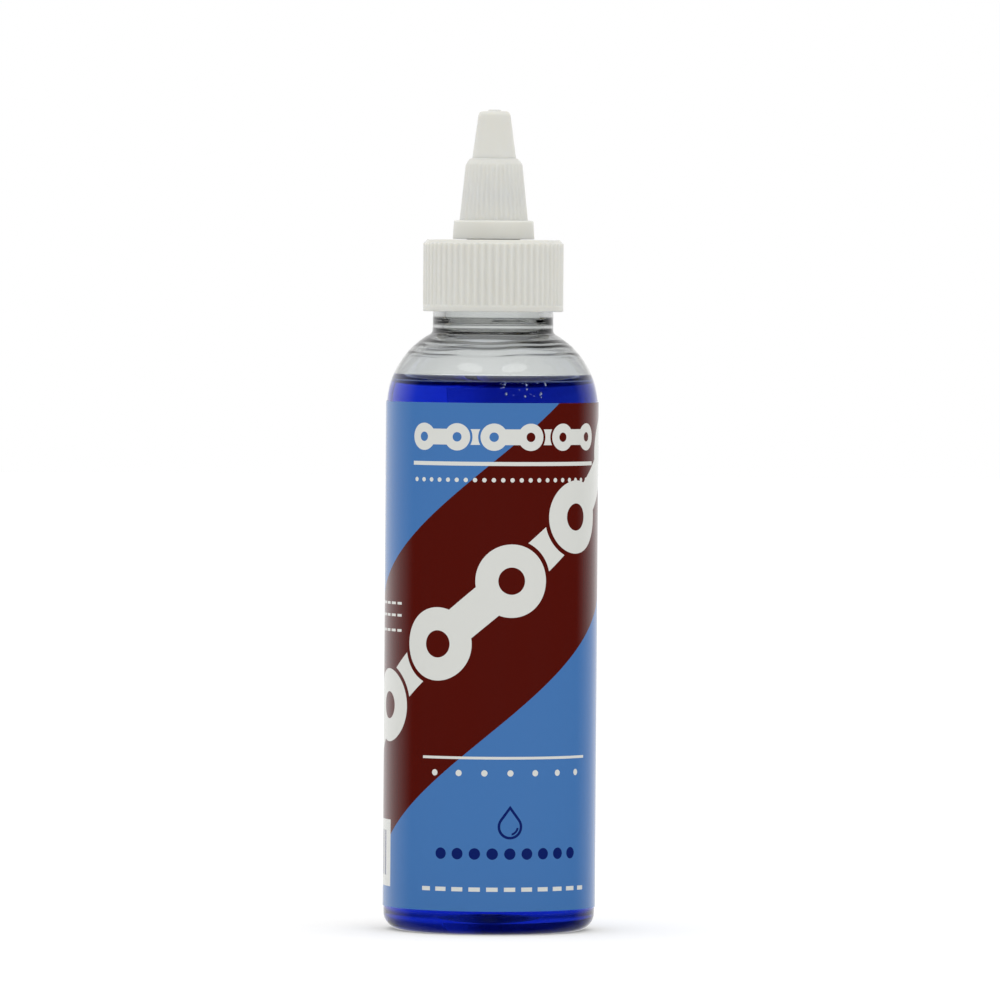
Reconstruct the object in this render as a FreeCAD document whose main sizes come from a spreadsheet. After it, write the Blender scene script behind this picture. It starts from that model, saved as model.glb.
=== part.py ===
import FreeCAD, Part
import Sketcher
import math
import os

# Chain lube bottle: a clear blown bottle of blue lube with a wrapped film label, a ribbed screw cap and
# a spout that is twisted up its chimney to open. Millimetres, +Z up along the bottle's axis, origin at
# the centre of the base, label front towards -Y.

doc = FreeCAD.newDocument("ChainLubeBottle")
sizes = doc.addObject("Spreadsheet::Sheet", "Sizes")

# Bottle: body, base, shoulder and neck, from the base upwards.
BOTTLE_SIZES = {
    "body_radius": 20.3,
    "body_height": 100.5,
    "body_wall": 0.6,
    "base_wall": 0.9,
    "heel_round": 3.4,
    "standing_width": 3.4,
    "push_up_rise": 2.4,
    "shoulder_round": 16.1,
    "neck_radius": 11.6,
    "neck_fillet": 1.0,
    "collar_height": 4.7,
    "collar_step": 0.75,
    "finish_height": 10.6,
    "finish_wall": 1.75,
    "lip_round": 0.4,
}

# Lube: the level stands above the straight body, and the liquid keeps a hair off the wall.
LUBE_SIZES = {
    "fill_above_body": 3.6,
    "lube_clearance": 0.05,
}

# Label: wraps the straight body and runs a little over both of its ends.
LABEL_SIZES = {
    "label_lift": 1.2,
    "label_overrun": 1.1,
    "label_glue": 0.05,
    "label_film": 0.1,
    "label_end_gap": 3.0,
    "label_seam_turn": 13.2,
}

# Closure: sealing liner, ribbed skirt, top plate, chimney with its stop bead, sealing pin on webs.
CAP_SIZES = {
    "liner_thickness": 1.0,
    "liner_reach": 1.1,
    "liner_clearance": 0.2,
    "neck_show": 4.1,
    "thread_room": 0.55,
    "skirt_wall": 1.35,
    "cap_top_wall": 1.6,
    "cap_chamfer": 0.8,
    "band_height": 1.0,
    "flute_count": 60,
    "flute_radius": 0.55,
    "flute_depth": 0.35,
    "chimney_bore": 3.3,
    "chimney_wall": 1.6,
    "chimney_height": 6.0,
    "bead_step": 0.45,
    "bead_height": 1.0,
    "nose_wall": 0.9,
    "nose_height": 4.3,
    "web_count": 3,
    "web_thickness": 0.9,
    "web_height": 3.0,
    "pin_radius": 1.4,
    "pin_proud": 0.3,
    "pin_round": 0.5,
}

# Spout: flange, ribbed grip cone and tip, hollow over the chimney.
SPOUT_SIZES = {
    "spout_gap": 0.2,
    "spout_clearance": 0.2,
    "bead_clearance": 0.15,
    "lip_height": 1.7,
    "bore_spare": 1.3,
    "spout_wall": 1.08,
    "flange_height": 3.5,
    "flange_step": 1.08,
    "flange_draft": 0.19,
    "flange_chamfer": 0.3,
    "grip_taper": 1.1,
    "head_room": 3.0,
    "head_chamfer": 0.9,
    "head_rise": 1.3,
    "grip_flute_count": 40,
    "grip_flute_width": 0.65,
    "grip_flute_depth": 0.12,
    "tip_step": 1.27,
    "tip_taper": 1.21,
    "tip_height": 9.1,
    "tip_wall": 1.2,
    "tip_round": 1.0,
    "tip_bore_lift": 0.3,
    "pin_clearance": 0.1,
    "orifice_land": 2.1,
}

# Radii and heights that follow from the sizes above.
FOLLOWING_SIZES = {
    "standing_radius": "=body_radius - heel_round",
    "push_up_radius": "=standing_radius - standing_width",
    "push_up_sphere": "=(push_up_radius^2 + push_up_rise^2) / (2 * push_up_rise)",
    "shoulder_axis": "=body_radius - shoulder_round",
    "neck_root": "=body_height + sqrt(shoulder_round^2 - (neck_radius - shoulder_axis)^2)",
    "collar_top": "=neck_root + collar_height",
    "bottle_height": "=collar_top + finish_height",
    "finish_radius": "=neck_radius - collar_step",
    "mouth_radius": "=finish_radius - finish_wall",
    "cavity_radius": "=body_radius - body_wall",
    "cavity_floor": "=push_up_rise + base_wall",
    "cavity_heel": "=heel_round - body_wall",
    "cavity_heel_top": "=base_wall + cavity_heel",
    "cavity_shoulder": "=shoulder_round - body_wall",
    "cavity_top": "=body_height + sqrt(cavity_shoulder^2 - (mouth_radius - shoulder_axis)^2)",
    "lube_level": "=body_height + fill_above_body",
    "lube_floor": "=cavity_floor + lube_clearance",
    "lube_base": "=base_wall + lube_clearance",
    "lube_heel": "=cavity_heel - lube_clearance",
    "lube_radius": "=cavity_radius - lube_clearance",
    "lube_shoulder": "=cavity_shoulder - lube_clearance",
    "lube_level_radius": "=shoulder_axis + sqrt(lube_shoulder^2 - fill_above_body^2)",
    "label_bottom": "=heel_round + label_lift",
    "label_top": "=body_height + label_overrun",
    "label_inside": "=body_radius + label_glue",
    "label_outside": "=label_inside + label_film",
    "label_angle": "=360 - label_end_gap / label_inside * 180 / pi",
    "label_turn": "=180 + label_seam_turn",
    "skirt_bore": "=neck_radius + thread_room",
    "cap_radius": "=skirt_bore + skirt_wall",
    "cap_rim": "=cap_radius - cap_chamfer",
    "skirt_foot": "=neck_root + neck_show",
    "liner_top": "=bottle_height + liner_thickness",
    "liner_inner": "=mouth_radius - liner_reach",
    "liner_outer": "=skirt_bore - liner_clearance",
    "cap_top": "=liner_top + cap_top_wall",
    "cap_edge": "=cap_top - cap_chamfer",
    "flute_axis": "=cap_radius + flute_radius - flute_depth",
    "flute_length": "=cap_top - skirt_foot - band_height",
    "chimney_radius": "=chimney_bore + chimney_wall",
    "bead_radius": "=chimney_radius + bead_step",
    "nose_radius": "=chimney_bore + nose_wall",
    "bead_foot": "=cap_top + chimney_height",
    "bead_top": "=bead_foot + bead_height",
    "nose_top": "=bead_top + nose_height",
    "web_foot": "=nose_top - web_height",
    "web_root": "=(chimney_bore + nose_radius) / 2",
    "spout_foot": "=cap_top + spout_gap",
    "lip_top": "=spout_foot + lip_height",
    "lip_radius": "=chimney_radius + spout_clearance",
    "spout_bore": "=bead_radius + bead_clearance",
    "bore_top": "=bead_top + bore_spare",
    "flange_top": "=spout_foot + flange_height",
    "grip_foot_radius": "=spout_bore + spout_wall",
    "grip_head_radius": "=grip_foot_radius - grip_taper",
    "grip_top": "=nose_top + head_room",
    "flange_top_radius": "=grip_foot_radius + flange_step",
    "flange_rim": "=flange_top_radius - flange_chamfer",
    "flange_edge": "=flange_top - flange_chamfer",
    "flange_foot_radius": "=flange_top_radius + flange_draft",
    "head_bore": "=grip_head_radius - spout_wall",
    "tip_foot": "=grip_top + head_rise",
    "ledge_radius": "=grip_head_radius - head_chamfer",
    "tip_foot_radius": "=grip_head_radius - tip_step",
    "tip_head_radius": "=tip_foot_radius - tip_taper",
    "tip_bore": "=tip_foot_radius - tip_wall",
    "tip_bore_foot": "=tip_foot + tip_bore_lift",
    "spout_top": "=tip_foot + tip_height",
    "orifice_radius": "=pin_radius + pin_clearance",
    "land_foot": "=spout_top - orifice_land",
    "pin_top": "=spout_top + pin_proud",
    "pin_length": "=pin_top - web_foot",
    "grip_flute_left": "=-grip_flute_width",
    "grip_flute_fall": "=grip_taper * (tip_foot - flange_top) / (grip_top - flange_top)",
    "flute_foot_root": "=grip_foot_radius - grip_flute_depth",
    "flute_foot_crest": "=grip_foot_radius + grip_flute_depth",
    "flute_head_root": "=flute_foot_root - grip_flute_fall",
    "flute_head_crest": "=flute_foot_crest - grip_flute_fall",
}

ALL_SIZES = {**BOTTLE_SIZES, **LUBE_SIZES, **LABEL_SIZES, **CAP_SIZES, **SPOUT_SIZES, **FOLLOWING_SIZES}
for row, alias in enumerate(ALL_SIZES, start=1):
    sizes.set(f"A{row}", alias)
    sizes.setAlias(f"B{row}", alias)
for row, content in enumerate(ALL_SIZES.values(), start=1):
    sizes.set(f"B{row}", str(content))
doc.recompute()

EDGE_TOLERANCE = 1e-4


def size(alias):
    """A cell's number; None stands for the axis or the base plane."""
    return 0.0 if alias is None else float(sizes.get(alias))


def bind(feature, property_name, alias):
    """Ties one property of a feature to a cell of the sheet."""
    feature.setExpression(property_name, f"Sizes.{alias}")


def new_body(label):
    body = doc.addObject("PartDesign::Body", label)
    body.Label = label
    body.Placement = FreeCAD.Placement()
    return body


def origin_feature(body, role):
    return next(f for f in body.Origin.OriginFeatures if f.Role == role)


def new_sketch(body, name, role, height=None):
    """An empty sketch on one of the body's origin planes, raised by a cell where a height is given."""
    sketch = body.newObject("Sketcher::SketchObject", name)
    sketch.AttachmentSupport = [(origin_feature(body, role), "")]
    sketch.MapMode = "FlatFace"
    if height is not None:
        bind(sketch, "AttachmentOffset.Base.z", height)
    return sketch


def arc_between(start, end, radius, centre_side):
    """The short arc from start to end, with its centre left or right of the way along it.

    Returns the arc and whether it runs backwards, because arcs in a sketch always turn anticlockwise.
    """
    chord = end.sub(start)
    left = FreeCAD.Vector(-chord.y, chord.x, 0).normalize()
    reach = math.sqrt(max(radius**2 - (chord.Length / 2) ** 2, 0.0))
    centre = start.add(end).multiply(0.5).add(left.multiply(reach if centre_side == "left" else -reach))
    backwards = centre_side == "right"
    first, last = (end, start) if backwards else (start, end)
    first_angle = math.atan2(first.y - centre.y, first.x - centre.x)
    last_angle = math.atan2(last.y - centre.y, last.x - centre.x)
    if last_angle <= first_angle:
        last_angle += 2 * math.pi
    circle = Part.Circle(centre, FreeCAD.Vector(0, 0, 1), radius)
    return Part.ArcOfCircle(circle, first_angle, last_angle), backwards


def outline_sketch(body, name, role, corners, height=None):
    """A closed outline through corners (across cell, up cell), every corner and radius tied to the sheet.

    A corner with two more entries, a radius cell and a side, starts an arc to the next corner.
    """
    sketch = new_sketch(body, name, role, height)
    points = [FreeCAD.Vector(size(corner[0]), size(corner[1]), 0) for corner in corners]
    starts, ends, radii = [], [], {}
    for index, corner in enumerate(corners):
        start = points[index]
        end = points[(index + 1) % len(points)]
        backwards = False
        if len(corner) == 2:
            edge = Part.LineSegment(start, end)
        else:
            edge, backwards = arc_between(start, end, size(corner[2]), corner[3])
            radii[index] = corner[2]
        sketch.addGeometry(edge)
        starts.append(2 if backwards else 1)
        ends.append(1 if backwards else 2)
    for index in range(len(corners)):
        follower = (index + 1) % len(corners)
        sketch.addConstraint(
            Sketcher.Constraint("Coincident", index, ends[index], follower, starts[follower])
        )
    for index, corner in enumerate(corners):
        for kind, axis_line, alias in (("DistanceX", -2, corner[0]), ("DistanceY", -1, corner[1])):
            if alias is None:
                on_axis = Sketcher.Constraint("PointOnObject", index, starts[index], axis_line)
                sketch.addConstraint(on_axis)
                continue
            number = sketch.addConstraint(Sketcher.Constraint(kind, index, starts[index], size(alias)))
            bind(sketch, f"Constraints[{number}]", alias)
    for index, alias in radii.items():
        number = sketch.addConstraint(Sketcher.Constraint("Radius", index, size(alias)))
        bind(sketch, f"Constraints[{number}]", alias)
    return sketch


def circle_sketch(body, name, height, radius, across=None):
    """A circle on a level plane, on the axis or moved out along +X by a cell."""
    sketch = new_sketch(body, name, "XY_Plane", height)
    centre = FreeCAD.Vector(size(across), 0, 0)
    sketch.addGeometry(Part.Circle(centre, FreeCAD.Vector(0, 0, 1), size(radius)))
    sketch.addConstraint(Sketcher.Constraint("PointOnObject", 0, 3, -1))
    number = sketch.addConstraint(Sketcher.Constraint("Radius", 0, size(radius)))
    bind(sketch, f"Constraints[{number}]", radius)
    if across is None:
        sketch.addConstraint(Sketcher.Constraint("PointOnObject", 0, 3, -2))
    else:
        number = sketch.addConstraint(Sketcher.Constraint("DistanceX", 0, 3, size(across)))
        bind(sketch, f"Constraints[{number}]", across)
    return sketch


def revolve(body, name, sketch, kind="Revolution"):
    """A full turn of a sketch about the axis, added or, as a Groove, cut away."""
    feature = body.newObject(f"PartDesign::{kind}", name)
    feature.Profile = sketch
    feature.ReferenceAxis = (sketch, ["V_Axis"])
    feature.Angle = 360
    doc.recompute()
    return feature


def extrude(body, name, sketch, length, kind="Pad"):
    """A sketch drawn out by a cell: a Pad goes up from its plane, a Pocket cuts down from it."""
    feature = body.newObject(f"PartDesign::{kind}", name)
    feature.Profile = sketch
    bind(feature, "Length", length)
    doc.recompute()
    return feature


def polar_pattern(body, name, original, count):
    """Copies a feature evenly round the axis and makes the pattern the body's last step."""
    pattern = body.newObject("PartDesign::PolarPattern", name)
    pattern.Originals = [original]
    pattern.Axis = (origin_feature(body, "Z_Axis"), [""])
    pattern.Angle = 360
    bind(pattern, "Occurrences", count)
    body.Tip = pattern
    doc.recompute()
    return pattern


def round_edges(body, name, base, radius, radius_at, height):
    """Rounds the circular edges of one radius at one height; all three are cells."""
    picked = []
    for number, edge in enumerate(base.Shape.Edges, start=1):
        if edge.Degenerated or not isinstance(edge.Curve, Part.Circle):
            continue
        on_radius = abs(edge.Curve.Radius - size(radius_at)) < EDGE_TOLERANCE
        at_height = abs(edge.Curve.Center.z - size(height)) < EDGE_TOLERANCE
        if on_radius and at_height:
            picked.append(f"Edge{number}")
    fillet = body.newObject("PartDesign::Fillet", name)
    fillet.Base = (base, picked)
    bind(fillet, "Radius", radius)
    doc.recompute()
    return fillet


def check_cut(before, after):
    """A cut that points away from the solid takes nothing off and shows no error."""
    if after.Shape.Volume >= before.Shape.Volume:
        raise RuntimeError(f"{after.Name} cuts nothing")


# Bottle: the outer form is turned, its heel and neck root are rounded, and the cavity is cut out.
bottle = new_body("bottle")
bottle_outline = outline_sketch(bottle, "bottle_outline", "XZ_Plane", [
    (None, "push_up_rise", "push_up_sphere", "right"),
    ("push_up_radius", None),
    ("body_radius", None),
    ("body_radius", "body_height", "shoulder_round", "left"),
    ("neck_radius", "neck_root"),
    ("neck_radius", "collar_top"),
    ("finish_radius", "collar_top"),
    ("finish_radius", "bottle_height"),
    (None, "bottle_height"),
])
bottle_form = revolve(bottle, "bottle_form", bottle_outline)
bottle_heel = round_edges(bottle, "bottle_heel", bottle_form, "heel_round", "body_radius", None)
bottle_neck = round_edges(bottle, "bottle_neck", bottle_heel, "neck_fillet", "neck_radius", "neck_root")
bottle_lip = round_edges(bottle, "bottle_lip", bottle_neck, "lip_round", "finish_radius", "bottle_height")
cavity_outline = outline_sketch(bottle, "cavity_outline", "XZ_Plane", [
    (None, "cavity_floor", "push_up_sphere", "right"),
    ("push_up_radius", "base_wall"),
    ("standing_radius", "base_wall", "cavity_heel", "left"),
    ("cavity_radius", "cavity_heel_top"),
    ("cavity_radius", "body_height", "cavity_shoulder", "left"),
    ("mouth_radius", "cavity_top"),
    ("mouth_radius", "bottle_height"),
    (None, "bottle_height"),
])
bottle_cavity = revolve(bottle, "bottle_cavity", cavity_outline, "Groove")
check_cut(bottle_lip, bottle_cavity)

# Lube: fills the cavity up to its level.
lube_fill = new_body("lube_fill")
lube_outline = outline_sketch(lube_fill, "lube_outline", "XZ_Plane", [
    (None, "lube_floor", "push_up_sphere", "right"),
    ("push_up_radius", "lube_base"),
    ("standing_radius", "lube_base", "lube_heel", "left"),
    ("lube_radius", "cavity_heel_top"),
    ("lube_radius", "body_height", "lube_shoulder", "left"),
    ("lube_level_radius", "lube_level"),
    (None, "lube_level"),
])
lube_form = revolve(lube_fill, "lube_form", lube_outline)

# Label: one strip of film turned round the body, with the gap between its ends left of the back.
label = new_body("label")
label_section = outline_sketch(label, "label_section", "YZ_Plane", [
    ("label_inside", "label_bottom"),
    ("label_outside", "label_bottom"),
    ("label_outside", "label_top"),
    ("label_inside", "label_top"),
])
label_wrap = revolve(label, "label_wrap", label_section)
label_wrap.Midplane = True
bind(label_wrap, "Angle", "label_angle")
label_rotation = FreeCAD.Rotation(FreeCAD.Vector(0, 0, 1), size("label_turn"))
label.Placement = FreeCAD.Placement(FreeCAD.Vector(), label_rotation)
bind(label, "Placement.Rotation.Angle", "label_turn")

# Sealing liner: a flat ring on the mouth, under the cap's top plate.
cap_liner = new_body("cap_liner")
liner_section = outline_sketch(cap_liner, "liner_section", "XZ_Plane", [
    ("liner_inner", "bottle_height"),
    ("liner_outer", "bottle_height"),
    ("liner_outer", "liner_top"),
    ("liner_inner", "liner_top"),
])
liner_ring = revolve(cap_liner, "liner_ring", liner_section)

# Screw cap: skirt, top plate, chimney and nose are turned; the flutes of the grip are cut down from the
# top to the plain band; webs inside the nose carry the sealing pin.
screw_cap = new_body("screw_cap")
cap_section = outline_sketch(screw_cap, "cap_section", "XZ_Plane", [
    ("skirt_bore", "skirt_foot"),
    ("cap_radius", "skirt_foot"),
    ("cap_radius", "cap_edge"),
    ("cap_rim", "cap_top"),
    ("chimney_radius", "cap_top"),
    ("chimney_radius", "bead_foot"),
    ("bead_radius", "bead_foot"),
    ("bead_radius", "bead_top"),
    ("nose_radius", "bead_top"),
    ("nose_radius", "nose_top"),
    ("chimney_bore", "nose_top"),
    ("chimney_bore", "liner_top"),
    ("skirt_bore", "liner_top"),
])
cap_form = revolve(screw_cap, "cap_form", cap_section)
flute_circle = circle_sketch(screw_cap, "flute_circle", "cap_top", "flute_radius", "flute_axis")
cap_flute = extrude(screw_cap, "cap_flute", flute_circle, "flute_length", "Pocket")
check_cut(cap_form, cap_flute)
cap_flutes = polar_pattern(screw_cap, "cap_flutes", cap_flute, "flute_count")
check_cut(cap_flute, cap_flutes)
web_outline = outline_sketch(screw_cap, "web_outline", "XZ_Plane", [
    (None, "web_foot"),
    ("web_root", "web_foot"),
    ("web_root", "nose_top"),
    (None, "nose_top"),
])
pin_web = extrude(screw_cap, "pin_web", web_outline, "web_thickness")
pin_web.SideType = "Symmetric"
pin_webs = polar_pattern(screw_cap, "pin_webs", pin_web, "web_count")
pin_circle = circle_sketch(screw_cap, "pin_circle", "web_foot", "pin_radius")
pin_shaft = extrude(screw_cap, "pin_shaft", pin_circle, "pin_length")
pin_end = round_edges(screw_cap, "pin_end", pin_shaft, "pin_round", "pin_radius", "pin_top")

# Twist spout: flange, grip cone and tip are turned as one hollow shell; shallow V flutes run up the grip.
twist_spout = new_body("twist_spout")
spout_section = outline_sketch(twist_spout, "spout_section", "XZ_Plane", [
    ("lip_radius", "spout_foot"),
    ("flange_foot_radius", "spout_foot"),
    ("flange_top_radius", "flange_edge"),
    ("flange_rim", "flange_top"),
    ("grip_foot_radius", "flange_top"),
    ("grip_head_radius", "grip_top"),
    ("ledge_radius", "tip_foot"),
    ("tip_foot_radius", "tip_foot"),
    ("tip_head_radius", "spout_top"),
    ("orifice_radius", "spout_top"),
    ("orifice_radius", "land_foot"),
    ("tip_bore", "tip_bore_foot"),
    ("head_bore", "grip_top"),
    ("spout_bore", "bore_top"),
    ("spout_bore", "lip_top"),
    ("lip_radius", "lip_top"),
])
spout_form = revolve(twist_spout, "spout_form", spout_section)
spout_tip = round_edges(twist_spout, "spout_tip", spout_form, "tip_round", "tip_head_radius", "spout_top")
grip_flute_low = outline_sketch(twist_spout, "grip_flute_low", "XY_Plane", [
    ("flute_foot_root", None),
    ("flute_foot_crest", "grip_flute_left"),
    ("flute_foot_crest", "grip_flute_width"),
], "flange_top")
grip_flute_high = outline_sketch(twist_spout, "grip_flute_high", "XY_Plane", [
    ("flute_head_root", None),
    ("flute_head_crest", "grip_flute_left"),
    ("flute_head_crest", "grip_flute_width"),
], "tip_foot")
grip_flute = twist_spout.newObject("PartDesign::SubtractiveLoft", "grip_flute")
grip_flute.Profile = grip_flute_low
grip_flute.Sections = [grip_flute_high]
doc.recompute()
check_cut(spout_tip, grip_flute)
grip_flutes = polar_pattern(twist_spout, "grip_flutes", grip_flute, "grip_flute_count")
check_cut(grip_flute, grip_flutes)

doc.recompute()
for item in doc.Objects:
    if "Invalid" in item.State or "Error" in item.State:
        raise RuntimeError(f"{item.Name} failed: {item.State}")

PIECES = (bottle, lube_fill, label, cap_liner, screw_cap, twist_spout)
for piece in PIECES:
    if piece.Shape.isNull() or not piece.Shape.isValid():
        raise RuntimeError(f"{piece.Label} has no valid shape")

os.makedirs("parts", exist_ok=True)
for piece in PIECES:
    piece.Shape.exportStep(f"parts/{piece.Label}.step")
    box = piece.Shape.BoundBox
    print(
        piece.Label,
        f"solids {len(piece.Shape.Solids)}",
        f"volume {piece.Shape.Volume:.1f}",
        f"z {box.ZMin:.2f} to {box.ZMax:.2f}",
        f"width {box.XLength:.2f}",
    )
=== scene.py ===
import math

import bmesh
import bpy
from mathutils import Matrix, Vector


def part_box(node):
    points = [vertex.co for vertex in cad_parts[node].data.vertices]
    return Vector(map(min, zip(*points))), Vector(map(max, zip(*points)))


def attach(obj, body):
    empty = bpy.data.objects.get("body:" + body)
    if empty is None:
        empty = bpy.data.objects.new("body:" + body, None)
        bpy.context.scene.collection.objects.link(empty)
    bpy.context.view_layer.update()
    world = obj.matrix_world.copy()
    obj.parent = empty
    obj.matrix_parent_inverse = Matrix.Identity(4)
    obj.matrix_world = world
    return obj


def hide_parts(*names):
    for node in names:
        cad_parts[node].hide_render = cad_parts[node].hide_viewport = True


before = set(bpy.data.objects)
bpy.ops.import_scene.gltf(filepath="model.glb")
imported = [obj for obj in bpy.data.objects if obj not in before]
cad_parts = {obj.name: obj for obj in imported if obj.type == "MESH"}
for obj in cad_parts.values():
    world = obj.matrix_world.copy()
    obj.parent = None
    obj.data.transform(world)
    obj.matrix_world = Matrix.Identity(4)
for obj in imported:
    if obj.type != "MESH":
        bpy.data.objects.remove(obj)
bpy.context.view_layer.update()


# Bottle: one clear PET bottle, stretch-blown from a preform. The neck keeps the preform's thick wall and its
# moulded thread, shoulder and body are thin, and the base is pushed up so that the bottle stands on a ring.
MM = 0.001
PET_INDEX = 1.575
LUBE_INDEX = 1.46
GLUE_INDEX = 1.47

bottle_columns = 192
body_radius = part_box("bottle")[1].x / MM
bottle_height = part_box("bottle")[1].z / MM
body_top = 100.5
body_wall = 0.6
base_wall = 0.9
heel_round = 3.4
standing_width = 3.4
push_up = 2.4
gate_radius = 1.6
gate_drop = 0.6
gate_round = 0.3
gate_lip = 0.1
shoulder_round = 16.1
neck_radius = 11.6
neck_round = 1.0
collar_step = 0.75
collar_edge = 0.1
finish_wall = 1.75
finish_height = 10.6
lip_round = 0.4
# Where the blown wall steps: angle up the shoulder and width in degrees, and how much thicker it gets.
wall_steps = ((52.5, 4.0, 0.15), (47.5, 3.4, 0.11), (40.0, 2.6, 0.05))
# How the steps wander round the bottle: degrees up and down, waves in one turn, and where the waves start.
wall_waves = ((0.9, 3, 0.6), (0.4, 8, 2.0))
even_share = 0.7
uneven_share = 0.3
thick_sides = 2
wall_rings = 90
bore_step = 0.4
bore_rows = 8
bore_step_head = 117.9
bore_step_foot = 116.2
bore_round = 1.5
thread_pitch = 3.175
thread_crest = 0.75
thread_width = 1.3
thread_row = 0.25
thread_start = 0.6
thread_stop = 1.0
root_tolerance = 0.05
lube_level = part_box("lube_fill")[1].z / MM
capillary_length = 1.87
meniscus_rise = 2.95
glue_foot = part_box("label")[0].z / MM
label_gap = 3.0
seam_turn = math.radians(13.2)
ring_gap = 0.4

standing_radius = body_radius - heel_round
push_up_radius = standing_radius - standing_width
push_up_sphere = (push_up_radius**2 + push_up**2) / (2 * push_up)
shoulder_axis = body_radius - shoulder_round
cavity_radius = body_radius - body_wall
cavity_shoulder = shoulder_round - body_wall
cavity_heel = heel_round - body_wall
finish_radius = neck_radius - collar_step
mouth_radius = finish_radius - finish_wall
collar_top = bottle_height - finish_height
flat_level = lube_level - 2 * capillary_length**2 / cavity_radius
contact_height = flat_level + meniscus_rise
neck_wall = body_wall + even_share * sum(thicker for angle, width, thicker in wall_steps)


def srgb(code):
    """A colour's sRGB hex code as linear red, green, blue and alpha."""
    parts = [int(code[place:place + 2], 16) / 255 for place in (0, 2, 4)]
    return [part / 12.92 if part <= 0.04045 else ((part + 0.055) / 1.055) ** 2.4 for part in parts] + [1.0]


def add(tree, kind, *values, sockets=None, **settings):
    """Adds a node with its settings. Inputs, in order or by name, take numbers, sockets or other nodes."""
    made = tree.nodes.new(kind)
    for name, value in settings.items():
        setattr(made, name, value)
    for socket, value in [*enumerate(values), *(sockets or {}).items()]:
        if isinstance(value, bpy.types.Node):
            value = value.outputs[0]
        if isinstance(value, bpy.types.NodeSocket):
            tree.links.new(value, made.inputs[socket])
        else:
            made.inputs[socket].default_value = value
    return made


def new_material(name):
    """An empty material's tree, for the nodes of one finish."""
    material = bpy.data.materials.new(name)
    material.use_nodes = True
    material.node_tree.nodes.clear()
    return material, material.node_tree


def arc(centre, radius, start, end, steps):
    """Section points (radius, height) in millimetres along an arc, from one angle to another in degrees."""
    angles = [math.radians(start + (end - start) * step / steps) for step in range(steps + 1)]
    return [(centre[0] + radius * math.cos(angle), centre[1] + radius * math.sin(angle)) for angle in angles]


def ease(share):
    """A share from 0 to 1 that starts and ends softly."""
    share = min(max(share, 0.0), 1.0)
    return share**2 * (3 - 2 * share)


def turn(shape, outline, columns, closed=False):
    """Turns section points about the axis, the solid left of the way along them, and returns the rings."""
    rings = []
    for radius, height in outline:
        on_axis = radius < 1e-6
        if on_axis:
            rings.append([shape.verts.new((0, 0, height * MM))])
            continue
        angles = [2 * math.pi * column / columns for column in range(columns)]
        spots = [(radius * MM * math.cos(angle), radius * MM * math.sin(angle)) for angle in angles]
        rings.append([shape.verts.new((*spot, height * MM)) for spot in spots])
    pairs = list(zip(rings, rings[1:]))
    if closed:
        pairs.append((rings[-1], rings[0]))
    for first, second in pairs:
        for column in range(columns):
            after = (column + 1) % columns
            corners = [first[column % len(first)], first[after % len(first)]]
            corners += [second[after % len(second)], second[column % len(second)]]
            shape.faces.new(list(dict.fromkeys(corners)))
    return rings


def piece_of(name, shape, *materials):
    """A finished shape as an object of the scene with its materials."""
    mesh = bpy.data.meshes.new(name)
    shape.to_mesh(mesh)
    shape.free()
    for material in materials:
        mesh.materials.append(material)
    piece = bpy.data.objects.new(name, mesh)
    bpy.context.scene.collection.objects.link(piece)
    return piece


def smooth(piece, sharp_angle=32):
    """Shades a piece smooth, with edges kept where the surface turns by more than an angle in degrees."""
    piece.data.shade_smooth()
    piece.data.set_sharp_from_angle(angle=math.radians(sharp_angle))


def new_tree(name, sizes):
    """A geometry tree with a named input for each size, and its input and output nodes."""
    tree = bpy.data.node_groups.new(name, "GeometryNodeTree")
    tree.interface.new_socket("Geometry", in_out="INPUT", socket_type="NodeSocketGeometry")
    for size, kind in sizes.items():
        tree.interface.new_socket(size, in_out="INPUT", socket_type=f"NodeSocket{kind}")
    tree.interface.new_socket("Geometry", in_out="OUTPUT", socket_type="NodeSocketGeometry")
    return tree, add(tree, "NodeGroupInput").outputs, add(tree, "NodeGroupOutput")


def grow(piece, tree, sizes):
    """Runs a geometry tree with a value for each named input, and keeps the result as a plain mesh."""
    modifier = piece.modifiers.new(tree.name, "NODES")
    modifier.node_group = tree
    for item in tree.interface.items_tree:
        if item.in_out == "INPUT" and item.name in sizes:
            modifier[item.identifier] = sizes[item.name]
    evaluated = piece.evaluated_get(bpy.context.evaluated_depsgraph_get())
    piece.data = bpy.data.meshes.new_from_object(evaluated)
    piece.modifiers.remove(modifier)


def end_tree(tree, end, made, material):
    """Ends a geometry tree: what it made as real faces, in the piece's material."""
    made = add(tree, "GeometryNodeRealizeInstances", made)
    made = add(tree, "GeometryNodeSetMaterial", made, sockets={"Material": material})
    tree.links.new(made.outputs[0], end.inputs[0])


# Blown PET: clear and glossy. It takes 60 per metre off all colours, so that only its rims and the thick
# neck look grey. Where lube or the label's glue wets it light bends less, so the index comes from the faces.
clear_pet, tree = new_material("clear PET")
facing = add(tree, "ShaderNodeAttribute", attribute_name="surface_index")
shader = add(tree, "ShaderNodeBsdfPrincipled", sockets={
    "Base Color": srgb("F1F3F2"),
    "Roughness": 0.0,
    "IOR": facing.outputs["Fac"],
    "Transmission Weight": 1.0,
})
haze = add(tree, "ShaderNodeVolumeAbsorption", sockets={"Color": srgb("000000"), "Density": 60.0})
add(tree, "ShaderNodeOutputMaterial", shader, haze)

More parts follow.
